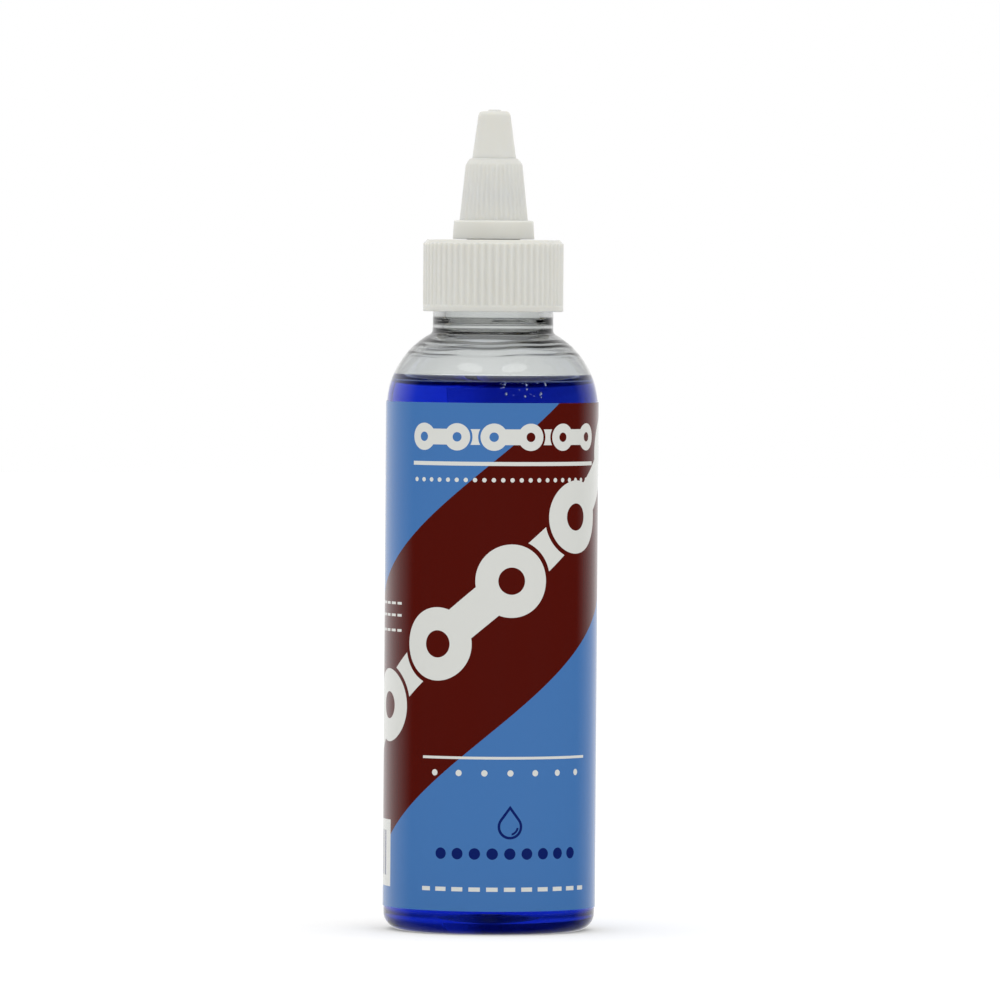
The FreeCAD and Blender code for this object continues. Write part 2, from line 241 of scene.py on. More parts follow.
# The thread climbs the finish once per pitch: a rounded ridge that fades out at both of its ends.
thread_tree, given, thread_end = new_tree("neck thread", {
    "Root radius": "Float",
    "Crest": "Float",
    "Pitch": "Float",
    "Width": "Float",
    "Foot": "Float",
    "Head": "Float",
    "Material": "Material",
})
place = add(thread_tree, "ShaderNodeSeparateXYZ", add(thread_tree, "GeometryNodeInputPosition"))
across, deep, up = place.outputs
angle = add(thread_tree, "ShaderNodeMath", deep, across, operation="ARCTAN2")
turns = add(thread_tree, "ShaderNodeMath", angle, 2 * math.pi, operation="DIVIDE")
climb = add(thread_tree, "ShaderNodeMath", turns, given["Pitch"], operation="MULTIPLY")
lag = add(thread_tree, "ShaderNodeMath", up, climb, operation="SUBTRACT")
half_pitch = add(thread_tree, "ShaderNodeMath", given["Pitch"], 0.5, operation="MULTIPLY")
off_crest = add(thread_tree, "ShaderNodeMath", lag, half_pitch, operation="PINGPONG")
half_width = add(thread_tree, "ShaderNodeMath", given["Width"], 0.5, operation="MULTIPLY")
ridge = add(thread_tree, "ShaderNodeMapRange", interpolation_type="SMOOTHSTEP", sockets={
    "Value": off_crest, "From Min": half_width, "From Max": 0.0, "To Min": 0.0, "To Max": given["Crest"],
})
full_from = add(thread_tree, "ShaderNodeMath", given["Foot"], given["Width"], operation="ADD")
fade_in = add(thread_tree, "ShaderNodeMapRange", interpolation_type="SMOOTHSTEP", sockets={
    "Value": up, "From Min": given["Foot"], "From Max": full_from,
})
full_to = add(thread_tree, "ShaderNodeMath", given["Head"], given["Width"], operation="SUBTRACT")
fade_out = add(thread_tree, "ShaderNodeMapRange", interpolation_type="SMOOTHSTEP", sockets={
    "Value": up, "From Min": given["Head"], "From Max": full_to,
})
for fade in (fade_in, fade_out):
    ridge = add(thread_tree, "ShaderNodeMath", ridge, fade, operation="MULTIPLY")
outward = add(thread_tree, "ShaderNodeCombineXYZ", across, deep, 0.0)
reach = add(thread_tree, "ShaderNodeVectorMath", outward, operation="LENGTH")
on_finish = add(thread_tree, "ShaderNodeMath", reach.outputs["Value"], given["Root radius"],
                root_tolerance * MM, operation="COMPARE")
outward = add(thread_tree, "ShaderNodeVectorMath", outward, operation="NORMALIZE")
shift = add(thread_tree, "ShaderNodeVectorMath", outward, operation="SCALE", sockets={"Scale": ridge})
threaded = add(thread_tree, "GeometryNodeSetPosition", given["Geometry"], on_finish,
               sockets={"Offset": shift})
end_tree(thread_tree, thread_end, threaded, given["Material"])

push_up_centre = (0.0, push_up - push_up_sphere)
push_up_edge = math.degrees(math.acos(push_up_radius / push_up_sphere))
gate_edge = math.degrees(math.acos((gate_radius + gate_lip) / push_up_sphere))
shoulder_centre = (shoulder_axis, body_top)
neck_centre_radius = neck_radius + neck_round
neck_reach = shoulder_round + neck_round
neck_climb = math.acos((neck_centre_radius - shoulder_axis) / neck_reach)
neck_centre = (neck_centre_radius, body_top + neck_reach * math.sin(neck_climb))
neck_angle = math.degrees(neck_climb)
thread_rows = int((finish_height - lip_round) / thread_row)
outside = [
    (0.0, push_up - gate_drop),
    (gate_radius - gate_round, push_up - gate_drop),
    (gate_radius, push_up - gate_round),
    *arc(push_up_centre, push_up_sphere, gate_edge, push_up_edge, steps=10),
    *arc((standing_radius, heel_round), heel_round, 270, 360, steps=14),
    (body_radius, heel_round + ring_gap),
    (body_radius, glue_foot),
    (body_radius, body_top - ring_gap),
    *arc(shoulder_centre, shoulder_round, 0, neck_angle, steps=40),
    *arc(neck_centre, neck_round, neck_angle + 180, 180, steps=10)[1:],
    (neck_radius, neck_centre[1] + ring_gap / 2),
    (neck_radius, collar_top - ring_gap),
    (neck_radius, collar_top - collar_edge),
    (neck_radius - collar_edge, collar_top),
    *[(finish_radius, collar_top + thread_row * row) for row in range(thread_rows)],
    *arc((finish_radius - lip_round, bottle_height - lip_round), lip_round, 0, 90, steps=5),
]

bore_axis = mouth_radius + bore_step + bore_round
bore_reach = shoulder_round - neck_wall + bore_round
flare = math.acos((bore_axis - shoulder_axis) / bore_reach)
bore_foot = body_top + bore_reach * math.sin(flare)
flare_angle = math.degrees(flare)
contact_angle = math.degrees(math.asin((contact_height - body_top) / cavity_shoulder))
dry_inside = [(mouth_radius, bottle_height), (mouth_radius, bore_step_head + ring_gap)]
for row in range(bore_rows + 1):
    drop = (bore_step_head - bore_step_foot) * row / bore_rows
    dry_inside.append((mouth_radius + bore_step * ease(row / bore_rows), bore_step_head - drop))
dry_inside += arc((bore_axis, bore_foot), bore_round, 180, 180 + flare_angle, steps=14)
first_thinned = len(outside) + len(dry_inside)
thinned_span = contact_angle - flare_angle
climbs = [flare_angle + thinned_span * (ring + 1) / wall_rings for ring in range(wall_rings)]


def blown_inside(climb, azimuth):
    """A point inside the shoulder, where the wall thins from the neck down in soft, wandering steps."""
    wander = sum(swing * math.sin(waves * azimuth + start) for swing, waves, start in wall_waves)
    wall = body_wall
    for angle, width, thicker in wall_steps:
        share = ease((climb + wander - angle) / width + 0.5)
        wall += thicker * share * (even_share + uneven_share * math.sin(thick_sides * azimuth + angle))
    return arc(shoulder_centre, shoulder_round - wall, climb, climb, steps=1)[0]


dry_inside += [blown_inside(climb, 0.0) for climb in climbs]
wet_inside = arc(shoulder_centre, cavity_shoulder, contact_angle, 0, steps=16)[1:]
wet_inside += [(cavity_radius, body_top - ring_gap), (cavity_radius, base_wall + cavity_heel + ring_gap)]
wet_inside += arc((standing_radius, base_wall + cavity_heel), cavity_heel, 0, -90, steps=12)
wet_inside += arc((0.0, push_up_centre[1] + base_wall), push_up_sphere, push_up_edge, 90, steps=10)

shape = bmesh.new()
rings = turn(shape, outside + dry_inside + wet_inside, bottle_columns)
for ring, climb in zip(rings[first_thinned:], climbs):
    for vertex in ring:
        azimuth = math.atan2(vertex.co.y, vertex.co.x)
        radius, height = blown_inside(climb, azimuth)
        vertex.co = (radius * MM * math.cos(azimuth), radius * MM * math.sin(azimuth), height * MM)
bottle = piece_of("pet_bottle", shape, clear_pet)
grow(bottle, thread_tree, {
    "Root radius": finish_radius * MM,
    "Crest": thread_crest * MM,
    "Pitch": thread_pitch * MM,
    "Width": thread_width * MM,
    "Foot": (collar_top + thread_start) * MM,
    "Head": (bottle_height - thread_stop) * MM,
    "Material": clear_pet,
})
smooth(bottle)
first_wet = len(outside) + len(dry_inside) - 1
index_of_face = bottle.data.attributes.new("surface_index", "FLOAT", "FACE")
for face in bottle.data.polygons:
    ring = face.index // bottle_columns
    off_seam = abs(math.atan2(face.center.x, face.center.y) + seam_turn) * body_radius
    under_label = glue_foot < face.center.z / MM < body_top and off_seam > label_gap / 2
    index = PET_INDEX
    if ring >= first_wet:
        index = PET_INDEX / LUBE_INDEX
    elif ring < len(outside) and under_label:
        index = PET_INDEX / GLUE_INDEX
    index_of_face.data[face.index].value = index
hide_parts("bottle")
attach(bottle, "bottle")


# Lube: dyed blue oil, filled to just above the label. It wets the wall, so its surface climbs where it meets
# the PET, and light that crosses it loses its red and green first.
MATCHED_INDEX = 1.0

lube_clearance = 0.05
surface_rings = 24
surface_fall = 6
lube_shoulder = cavity_shoulder - lube_clearance
lube_heel = cavity_heel - lube_clearance
lube_radius = cavity_radius - lube_clearance
rim_height = contact_height - lube_clearance
rim_angle = math.degrees(math.asin((rim_height - body_top) / lube_shoulder))
rim_radius = shoulder_axis + lube_shoulder * math.cos(math.radians(rim_angle))

# Dyed oil: no colour of its own at the surface; the dye takes 131, 99 and 12 per metre of red, green, blue.
# Against the wall the light passes straight on, since the wall's own face already bends it.
blue_lube, tree = new_material("blue dyed oil")
facing = add(tree, "ShaderNodeAttribute", attribute_name="surface_index")
shader = add(tree, "ShaderNodeBsdfPrincipled", sockets={
    "Base Color": srgb("FFFFFF"),
    "Roughness": 0.0,
    "IOR": facing.outputs["Fac"],
    "Transmission Weight": 1.0,
})
dye = add(tree, "ShaderNodeVolumeAbsorption", sockets={"Color": srgb("0087F4"), "Density": 131.0})
add(tree, "ShaderNodeOutputMaterial", shader, dye)

lube_push_up = push_up_centre[1] + base_wall + lube_clearance
wall = arc((0.0, lube_push_up), push_up_sphere, 90, push_up_edge, steps=10)
wall += arc((standing_radius, base_wall + cavity_heel), lube_heel, 270, 360, steps=12)
wall += [(lube_radius, base_wall + cavity_heel + ring_gap), (lube_radius, body_top - ring_gap)]
wall += arc(shoulder_centre, lube_shoulder, 0, rim_angle, steps=16)


def meniscus_spread(rise):
    """How far out a wetting surface reaches, up to a constant, where it stands a rise above its level."""
    share = rise / capillary_length
    return capillary_length * (math.acosh(2 / share) - math.sqrt(4 - share**2))


surface = []
for ring in range(1, surface_rings + 1):
    rise = meniscus_rise * math.exp(-ring / surface_fall)
    inward = meniscus_spread(rise) - meniscus_spread(meniscus_rise)
    surface.append((rim_radius - inward, flat_level + rise))
surface += [(rim_radius / 2, flat_level), (0.0, flat_level)]

shape = bmesh.new()
turn(shape, wall + surface, bottle_columns)
lube = piece_of("lube", shape, blue_lube)
smooth(lube)
index_of_face = lube.data.attributes.new("surface_index", "FLOAT", "FACE")
for face in lube.data.polygons:
    wetted = face.index // bottle_columns < len(wall) - 1
    index_of_face.data[face.index].value = MATCHED_INDEX if wetted else LUBE_INDEX
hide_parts("lube_fill")
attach(lube, "bottle")


# Bubbles: a little air that filling left in the lube. They hang in a loose string under the surface, on the
# front right and close to the wall.
bubble_count = 17
bubble_seed = 12
bubble_smallest = 0.12
bubble_largest = 0.34
bubble_rarity = 2.0
bubble_off_wall = 0.3
bubble_depth = 0.9
bubble_spread = 1.2
bubble_first_angle = 5
bubble_last_angle = 34

# Air in oil: each bubble is a bright bead, since its surface mirrors the light of the room as metal does.
bubble_air, tree = new_material("air in oil")
shader = add(tree, "ShaderNodeBsdfPrincipled", sockets={
    "Base Color": srgb("FFFFFF"),
    "Metallic": 1.0,
    "Roughness": 0.1,
})
add(tree, "ShaderNodeOutputMaterial", shader)

bubble_tree, given, bubble_end = new_tree("bubbles", {
    "Count": "Int",
    "Wall radius": "Float",
    "Low": "Vector",
    "High": "Vector",
    "Smallest": "Float",
    "Largest": "Float",
    "Seed": "Int",
    "Material": "Material",
})
spot = add(bubble_tree, "FunctionNodeRandomValue", given["Low"], given["High"], data_type="FLOAT_VECTOR",
           sockets={"Seed": given["Seed"]})
spot = add(bubble_tree, "ShaderNodeSeparateXYZ", spot)
turned_by, inward, height = spot.outputs
reach = add(bubble_tree, "ShaderNodeMath", given["Wall radius"], inward, operation="SUBTRACT")
side = add(bubble_tree, "ShaderNodeMath", turned_by, operation="SINE")
front = add(bubble_tree, "ShaderNodeMath", turned_by, operation="COSINE")
side = add(bubble_tree, "ShaderNodeMath", side, reach, operation="MULTIPLY")
front = add(bubble_tree, "ShaderNodeMath", front, reach, operation="MULTIPLY")
back = add(bubble_tree, "ShaderNodeMath", front, -1.0, operation="MULTIPLY")
spot = add(bubble_tree, "ShaderNodeCombineXYZ", side, back, height)
string = add(bubble_tree, "GeometryNodePoints", given["Count"], spot)
growth = add(bubble_tree, "FunctionNodeRandomValue", data_type="FLOAT", sockets={
    2: 0.0, 3: 1.0, "Seed": given["Seed"],
})
growth = add(bubble_tree, "ShaderNodeMath", growth.outputs[1], bubble_rarity, operation="POWER")
radius = add(bubble_tree, "ShaderNodeMapRange", sockets={
    "Value": growth, "To Min": given["Smallest"], "To Max": given["Largest"],
})
bead = add(bubble_tree, "GeometryNodeMeshIcoSphere", sockets={"Radius": 1.0, "Subdivisions": 3})
beads = add(bubble_tree, "GeometryNodeInstanceOnPoints", string, sockets={"Instance": bead, "Scale": radius})
end_tree(bubble_tree, bubble_end, beads, given["Material"])

bubbles = piece_of("air_bubbles", bmesh.new(), bubble_air)
grow(bubbles, bubble_tree, {
    "Count": bubble_count,
    "Wall radius": (rim_radius - bubble_off_wall) * MM,
    "Low": (math.radians(bubble_first_angle), 0.0, (flat_level - bubble_spread) * MM),
    "High": (math.radians(bubble_last_angle), bubble_depth * MM, (flat_level + bubble_spread) * MM),
    "Smallest": bubble_smallest * MM,
    "Largest": bubble_largest * MM,
    "Seed": bubble_seed,
    "Material": bubble_air,
})
smooth(bubbles, 180)
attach(bubbles, "bottle")


# Label: one strip of polypropylene film, printed, wrapped once round the body and glued on. Its two ends
# stop short of each other left of the back, and its cut edges show the white of the film.
label_columns = 240
label_low, label_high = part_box("label")
label_radius = label_high.x / MM
label_bottom = label_low.z / MM
label_top = label_high.z / MM
label_film = 0.1
print_centre = 4.0
band_slope = 0.83
band_foot = 38.6
band_head = 90.1
chain_shift = 5.2
wave_width = 5.0
wave_stretch = 0.06
# Painted light and shade on the film's back: how deep light goes in near its cut ends, and how much less it
# goes in lower down.
seam_painted_glow = 6.0
plain_glow = 1.0
painted_glow_seam_start = 0.07
painted_glow_seam_end = 0.22
painted_shade_height = 88
painted_light_height = 99
painted_shade_share = 0.15

# Film where it is cut: plain white and dull.
film_white, tree = new_material("white polypropylene film")
shader = add(tree, "ShaderNodeBsdfPrincipled", sockets={"Base Color": srgb("E4E5E2"), "Roughness": 0.45})
add(tree, "ShaderNodeOutputMaterial", shader)

# Back of the film: white and thin enough to let some of the room's light through, so the lube glows before
# it.
# How deep light goes in is painted by place: deeper near the two cut ends and the top (painted light), far
# less lower down (painted shade).
film_back, tree = new_material("polypropylene film from behind")
place = add(tree, "ShaderNodeTexCoord").outputs["Object"]
across, deep, up = add(tree, "ShaderNodeSeparateXYZ", place).outputs
angle = add(tree, "ShaderNodeMath", across, deep, operation="ARCTAN2")
off_seam = add(tree, "ShaderNodeMath", angle, seam_turn, operation="ADD")
off_seam = add(tree, "ShaderNodeMath", off_seam, operation="ABSOLUTE")
# Painted light: near its cut ends the film lets more light through.
painted_glow_scale = add(tree, "ShaderNodeMapRange", interpolation_type="SMOOTHSTEP", sockets={
    "Value": off_seam, "From Min": painted_glow_seam_start, "From Max": painted_glow_seam_end,
    "To Min": seam_painted_glow * MM, "To Max": plain_glow * MM,
})
# Painted shade: below its top the film lets far less light through.
painted_height_shade = add(tree, "ShaderNodeMapRange", interpolation_type="SMOOTHSTEP", sockets={
    "Value": up, "From Min": painted_shade_height * MM, "From Max": painted_light_height * MM,
    "To Min": painted_shade_share, "To Max": 1.0,
})
painted_glow_scale = add(tree, "ShaderNodeMath", painted_glow_scale, painted_height_shade, operation="MULTIPLY")
shader = add(tree, "ShaderNodeBsdfPrincipled", sockets={
    "Base Color": srgb("F2F4F6"),
    "Roughness": 0.45,
    "Subsurface Weight": 1.0,
    "Subsurface Radius": (1.0, 1.0, 1.0),
    "Subsurface Scale": painted_glow_scale,
})
add(tree, "ShaderNodeOutputMaterial", shader)

# Printed film: flat inks under a glossy lacquer, with long soft waves where the strip was pulled round the
# wall. The design is drawn in millimetres, round the label from its front line and up from the base.
film_print, tree = new_material("printed polypropylene film")
place = add(tree, "ShaderNodeTexCoord").outputs["Object"]
across, deep, up = add(tree, "ShaderNodeSeparateXYZ", place).outputs
front = add(tree, "ShaderNodeMath", deep, -1.0, operation="MULTIPLY")
angle = add(tree, "ShaderNodeMath", across, front, operation="ARCTAN2")
angle = add(tree, "ShaderNodeMath", angle, math.pi + seam_turn, seam_turn - math.pi, operation="WRAP")
round_mm = add(tree, "ShaderNodeMath", angle, label_radius, operation="MULTIPLY")
up_mm = add(tree, "ShaderNodeMath", up, 1 / MM, operation="MULTIPLY")
print_mm = add(tree, "ShaderNodeMath", round_mm, print_centre, operation="SUBTRACT")


def printed_bar(width, middle, height, along=None, centre=0.0):
    """Ink in a bar: its width round the label, the height of its middle, and how tall it is."""
    in_width = add(tree, "ShaderNodeMath", along or print_mm, centre, width / 2, operation="COMPARE")
    in_height = add(tree, "ShaderNodeMath", up_mm, middle, height / 2, operation="COMPARE")
    return add(tree, "ShaderNodeMath", in_width, in_height, operation="MULTIPLY")


def printed_row(pitch, mark, width, middle, height, along=None, centre=0.0):
    """Ink in a row of equal marks, one every pitch."""
    step = add(tree, "ShaderNodeMath", along or print_mm, pitch / 2, operation="PINGPONG")
    on_mark = add(tree, "ShaderNodeMath", step, mark / 2, operation="LESS_THAN")
    in_row = printed_bar(width, middle, height, along, centre)
    return add(tree, "ShaderNodeMath", on_mark, in_row, operation="MULTIPLY")


def printed_dots(pitch, radius, width, middle):
    """Ink in a row of round dots, one every pitch."""
    step = add(tree, "ShaderNodeMath", print_mm, pitch / 2, operation="PINGPONG")
    off = add(tree, "ShaderNodeMath", up_mm, middle, operation="SUBTRACT")
    spot = add(tree, "ShaderNodeCombineXYZ", step, off)
    reach = add(tree, "ShaderNodeVectorMath", spot, operation="LENGTH")
    in_dot = add(tree, "ShaderNodeMath", reach.outputs["Value"], radius, operation="LESS_THAN")
    in_row = add(tree, "ShaderNodeMath", print_mm, 0.0, width / 2, operation="COMPARE")
    return add(tree, "ShaderNodeMath", in_dot, in_row, operation="MULTIPLY")


def printed_chain(along, off, pitch, plate, waist, hole, gap):
    """Ink in the side view of a roller chain: round-ended plates, every second one cut clear of the rest."""
    step = add(tree, "ShaderNodeMath", along, pitch / 2, operation="PINGPONG")
    spot = add(tree, "ShaderNodeCombineXYZ", step, off)
    from_pin = add(tree, "ShaderNodeVectorMath", spot, operation="LENGTH").outputs["Value"]
    disc = add(tree, "ShaderNodeMath", from_pin, plate, operation="LESS_THAN")
    strip = add(tree, "ShaderNodeMath", off, 0.0, waist, operation="COMPARE")
    link = add(tree, "ShaderNodeMath", disc, strip, operation="MAXIMUM")
    turn_of_two = add(tree, "ShaderNodeMath", along, 2 * pitch, operation="FLOORED_MODULO")
    inner = add(tree, "ShaderNodeMath", turn_of_two, pitch, operation="LESS_THAN")
    ring = add(tree, "ShaderNodeMath", from_pin, plate + gap / 2, gap / 2, operation="COMPARE")
    cut = add(tree, "ShaderNodeMath", ring, inner, operation="MULTIPLY")
    bore = add(tree, "ShaderNodeMath", from_pin, hole, operation="LESS_THAN")
    away = add(tree, "ShaderNodeMath", cut, bore, operation="MAXIMUM")
    return add(tree, "ShaderNodeMath", link, away, operation="SUBTRACT", use_clamp=True)


def printed_drop(middle, radius, tip, stroke):
    """Ink in the outline of a drop with a pointed top, and a short arc of shine low on its right."""
    off = add(tree, "ShaderNodeMath", up_mm, middle, operation="SUBTRACT")
    side = add(tree, "ShaderNodeMath", print_mm, operation="ABSOLUTE")
    spot = add(tree, "ShaderNodeCombineXYZ", side, off)
    around = add(tree, "ShaderNodeVectorMath", spot, operation="LENGTH").outputs["Value"]
    lean = radius / tip
    level = math.sqrt(1 - lean**2)
    shine_radius = radius * 0.62
    shine_stroke = stroke * 0.4
    shine_start = 0.3
    shine_top = -0.2
    flank = add(tree, "ShaderNodeVectorMath", spot, (level, lean, 0.0), operation="DOT_PRODUCT")
    rise = add(tree, "ShaderNodeVectorMath", spot, (-lean, level, 0.0), operation="DOT_PRODUCT")
    flank, rise = flank.outputs["Value"], rise.outputs["Value"]
    on_flank = add(tree, "ShaderNodeMath", rise, 0.0, operation="GREATER_THAN")
    reach = add(tree, "ShaderNodeMix", on_flank, sockets={2: around, 3: flank})
    line = add(tree, "ShaderNodeMath", reach, radius - stroke / 2, stroke / 2, operation="COMPARE")
    shine = add(tree, "ShaderNodeMath", around, shine_radius, shine_stroke, operation="COMPARE")
    right = add(tree, "ShaderNodeMath", print_mm, shine_start, operation="GREATER_THAN")
    low = add(tree, "ShaderNodeMath", off, shine_top, operation="LESS_THAN")
    for limit in (right, low):
        shine = add(tree, "ShaderNodeMath", shine, limit, operation="MULTIPLY")
    return add(tree, "ShaderNodeMath", line, shine, operation="MAXIMUM")


def all_of(marks):
    """One layer of ink from several marks."""
    layer = marks[0]
    for mark in marks[1:]:
        layer = add(tree, "ShaderNodeMath", layer, mark, operation="MAXIMUM")
    return layer


slant = add(tree, "ShaderNodeMath", round_mm, band_slope, operation="MULTIPLY")
climb = add(tree, "ShaderNodeMath", up_mm, slant, operation="SUBTRACT")
band = add(tree, "ShaderNodeMath", climb, (band_foot + band_head) / 2, (band_head - band_foot) / 2,
           operation="COMPARE")

slant_angle = math.atan(band_slope)
along_slant = (math.cos(slant_angle), math.sin(slant_angle), 0.0)
across_slant = (-math.sin(slant_angle), math.cos(slant_angle), 0.0)
chain_height = add(tree, "ShaderNodeMath", up_mm, (band_foot + band_head) / 2, operation="SUBTRACT")
chain_place = add(tree, "ShaderNodeCombineXYZ", round_mm, chain_height)
along_band = add(tree, "ShaderNodeVectorMath", chain_place, along_slant, operation="DOT_PRODUCT")
along_band = add(tree, "ShaderNodeMath", along_band.outputs["Value"], chain_shift, operation="SUBTRACT")
off_band = add(tree, "ShaderNodeVectorMath", chain_place, across_slant, operation="DOT_PRODUCT")
off_band = off_band.outputs["Value"]
band_chain = printed_chain(along_band, off_band, pitch=19.0, plate=7.0, waist=3.5, hole=2.6, gap=0.9)

title_middle = 95.1
title_pitch = 7.2
title_lead = 3.5 * title_pitch
title_off = add(tree, "ShaderNodeMath", up_mm, title_middle, operation="SUBTRACT")
title_start = add(tree, "ShaderNodeMath", print_mm, title_lead, operation="ADD")
title_chain = printed_chain(title_start, title_off, title_pitch, plate=2.6, waist=1.5, hole=0.9, gap=0.45)
title_ends = printed_bar(width=41.3, middle=title_middle, height=7.0)
title_chain = add(tree, "ShaderNodeMath", title_chain, title_ends, operation="MULTIPLY")

side_centre = -33.2
side_middles = (63.0, 60.7, 57.8)
panel_centre = -34.0
panel_middle = 15.0
white_ink = all_of([
    band_chain,
    title_chain,
    printed_bar(width=41.4, middle=90.0, height=0.75),
    printed_dots(pitch=1.8, radius=0.42, width=41.4, middle=86.9),
    printed_bar(width=35.5, middle=33.9, height=0.5),
    printed_dots(pitch=5.0, radius=0.6, width=34.0, middle=31.0),
    printed_row(pitch=3.4, mark=2.2, width=35.5, middle=8.8, height=0.8),
    *(printed_row(2.6, 1.9, 26.0, middle, 0.5, round_mm, side_centre) for middle in side_middles),
    printed_bar(19.6, panel_middle, height=12.8, along=round_mm, centre=panel_centre),
])
navy_ink = all_of([
    printed_drop(middle=20.8, radius=2.4, tip=4.05, stroke=0.5),
    printed_dots(pitch=3.4, radius=1.1, width=31.0, middle=15.6),
    printed_row(1.7, 0.8, 15.6, panel_middle, height=8.6, along=round_mm, centre=panel_centre),
])
ink = srgb("4577B4")
for layer, colour in ((band, "540F07"), (white_ink, "DCDDD8"), (navy_ink, "0A1F66")):
    ink = add(tree, "ShaderNodeMix", layer, data_type="RGBA", sockets={6: ink, 7: srgb(colour)}).outputs[2]

wave_climb = add(tree, "ShaderNodeMath", up_mm, wave_stretch, operation="MULTIPLY")
wave_place = add(tree, "ShaderNodeCombineXYZ", round_mm, 0.0, wave_climb)
waves = add(tree, "ShaderNodeTexNoise", wave_place, sockets={"Scale": 1 / wave_width, "Detail": 2.0})
pull = add(tree, "ShaderNodeBump", sockets={
    "Strength": 0.25, "Distance": label_film * MM, "Height": waves.outputs[0],
})
sheen = add(tree, "ShaderNodeMapRange", sockets={"Value": waves.outputs[0], "To Min": 0.12, "To Max": 0.2})
shader = add(tree, "ShaderNodeBsdfPrincipled", sockets={
    "Base Color": ink,
    "Roughness": sheen,
    "Normal": pull,
})
add(tree, "ShaderNodeOutputMaterial", shader)

shape = bmesh.new()
label_inside = label_radius - label_film
label_sweep = 2 * math.pi - label_gap / label_inside
section = [(label_inside, label_bottom), (label_radius, label_bottom)]
section += [(label_radius, label_top), (label_inside, label_top)]
material_of_side = (0, 1, 0, 2)
strips = []
for column in range(label_columns + 1):
    turned_by = label_sweep * (column / label_columns - 0.5) + seam_turn
    spots = [(r * MM * math.sin(turned_by), -r * MM * math.cos(turned_by), z * MM) for r, z in section]
    strips.append([shape.verts.new(spot) for spot in spots])
for first, second in zip(strips, strips[1:]):
    for corner, material_index in enumerate(material_of_side):
        after = (corner + 1) % len(section)
        face = shape.faces.new((first[corner], second[corner], second[after], first[after]))
        face.material_index = material_index
shape.faces.new(strips[0])
shape.faces.new(strips[-1][::-1])
label = piece_of("film_label", shape, film_white, film_print, film_back)
smooth(label)
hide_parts("label")
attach(label, "bottle")


# Sealing liner: a punched ring of foamed polyethylene, pressed between the mouth and the cap's top plate.
liner_low, liner_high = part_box("cap_liner")
liner_columns = 120
liner_overhang = 1.1
foam_cell = 0.35
liner_outer = liner_high.x / MM
liner_inner = mouth_radius - liner_overhang
liner_foot = liner_low.z / MM
liner_head = liner_high.z / MM
liner_edge = 0.15

# Foamed polyethylene: matt and off-white, pitted with cells of a third of a millimetre.
foam, tree = new_material("foamed polyethylene")
place = add(tree, "ShaderNodeTexCoord").outputs["Object"]
cells = add(tree, "ShaderNodeTexVoronoi", place, sockets={"Scale": 1 / (foam_cell * MM)})
pits = add(tree, "ShaderNodeBump", sockets={
    "Strength": 0.4, "Distance": 0.05 * MM, "Height": cells.outputs[0],
})
shader = add(tree, "ShaderNodeBsdfPrincipled", sockets={
    "Base Color": srgb("E6E5DF"),
    "Roughness": 0.8,
    "Normal": pits,
})
add(tree, "ShaderNodeOutputMaterial", shader)

shape = bmesh.new()
turn(shape, [
    (liner_inner, liner_foot + liner_edge),
    (liner_inner + liner_edge, liner_foot),
    (liner_outer - liner_edge, liner_foot),
    (liner_outer, liner_foot + liner_edge),
    (liner_outer, liner_head - liner_edge),
    (liner_outer - liner_edge, liner_head),
    (liner_inner + liner_edge, liner_head),
    (liner_inner, liner_head - liner_edge),
], liner_columns, closed=True)
liner = piece_of("foam_liner", shape, foam)
smooth(liner)
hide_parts("cap_liner")
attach(liner, "liner")


# Screw cap: one moulding of white polypropylene. Sixty flutes run down the skirt from its chamfered top to a
# plain band; a chimney with a stop bead stands on the top plate and holds the sealing pin on three webs.
flute_count = 60
flute_depth = 0.17
flute_width = 1.03
flute_run_out = 0.45
flute_columns = 12
run_out_row = 0.06
run_out_rows = 9
cap_low, cap_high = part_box("screw_cap")
cap_radius = cap_high.x / MM
skirt_foot = cap_low.z / MM
pin_top = cap_high.z / MM
skirt_wall = 1.35
skirt_bore = cap_radius - skirt_wall
top_wall = 1.6
cap_top = liner_head + top_wall
cap_chamfer = 0.8
chamfer_rows = 8
chamfer_radius = cap_radius - cap_chamfer
inner_edge = 0.15
outer_edge = 0.2
roof_fillet = 0.4
band_height = 1.0
flute_foot = skirt_foot + band_height
chimney_bore = 3.3
chimney_radius = 4.9
chimney_height = 6.0
chimney_fillet = 0.3
bead_radius = 5.35
bead_height = 1.0
bead_edge = 0.1
bead_slope = 0.3
bead_foot = cap_top + chimney_height
bead_top = bead_foot + bead_height
nose_radius = 4.2
nose_height = 4.3
nose_edge = 0.2
nose_top = bead_top + nose_height
web_count = 3
web_height = 3.0
web_foot = nose_top - web_height
web_thickness = 0.9
web_start = 0.5
web_end = chimney_bore + 0.3
pin_radius = 1.4
pin_round = 0.5

# Moulded polypropylene: milky off-white with a soft satin gloss. Light goes a little way in, so edges stay
# pale.
cloud_width = 9.0
grain_width = 0.3
white_plastic, tree = new_material("white moulded polypropylene")
place = add(tree, "ShaderNodeTexCoord").outputs["Object"]
cloud = add(tree, "ShaderNodeTexNoise", place, sockets={"Scale": 1 / (cloud_width * MM), "Detail": 2.0})
tone = add(tree, "ShaderNodeMix", cloud.outputs[0], data_type="RGBA",
           sockets={6: srgb("DAD9D2"), 7: srgb("E0E0DA")})
grain = add(tree, "ShaderNodeTexNoise", place, sockets={"Scale": 1 / (grain_width * MM), "Detail": 3.0})
skin = add(tree, "ShaderNodeBump", sockets={
    "Strength": 0.12, "Distance": 0.02 * MM, "Height": grain.outputs[0],
})
satin = add(tree, "ShaderNodeMapRange", sockets={"Value": grain.outputs[0], "To Min": 0.36, "To Max": 0.5})
